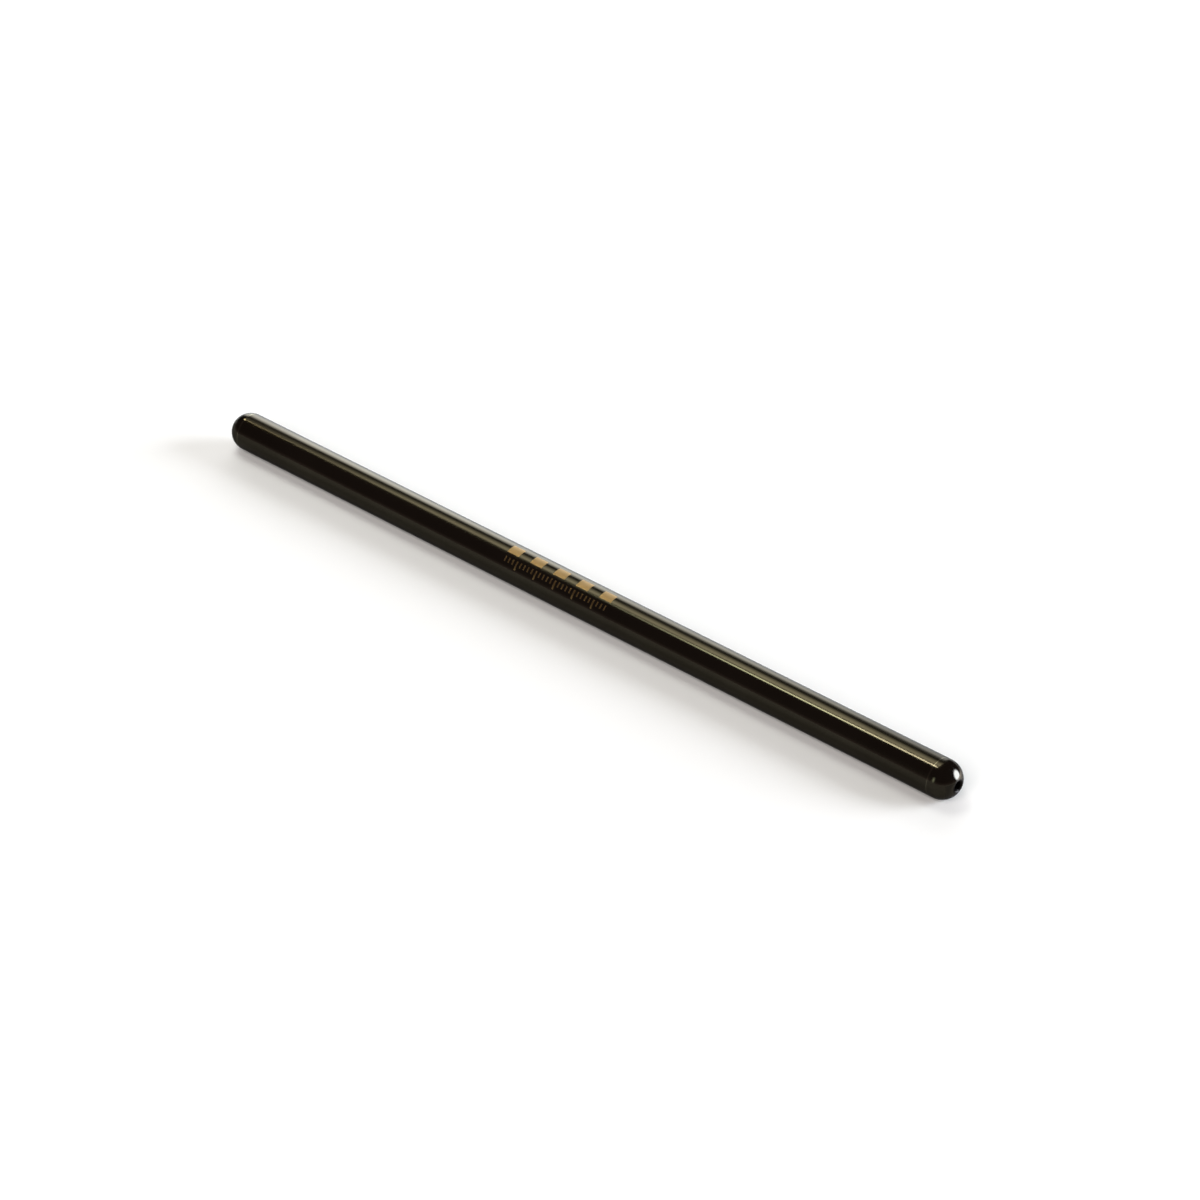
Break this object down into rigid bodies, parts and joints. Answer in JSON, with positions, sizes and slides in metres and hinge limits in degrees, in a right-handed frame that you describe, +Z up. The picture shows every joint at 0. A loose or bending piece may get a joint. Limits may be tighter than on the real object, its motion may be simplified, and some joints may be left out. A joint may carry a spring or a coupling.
{
  "type": "engine pushrod",
  "caption": "Slim steel tube with ball ends and an oil hole through each tip, which carries a lifter's motion up to a rocker arm and feeds oil along its bore.",
  "frame": {"origin": "middle of the rod, on its axis", "axes": "+X along the rod, +Z up when the rod lies flat; both ends are alike"},
  "size_m": [0.188, 0.008, 0.008],
  "materials": {
    "black_oxide_steel": "ground steel with an oiled black oxide finish"
  },
  "bodies": {
    "root": {"pushrod": "black_oxide_steel"}
  },
  "joints": []
}
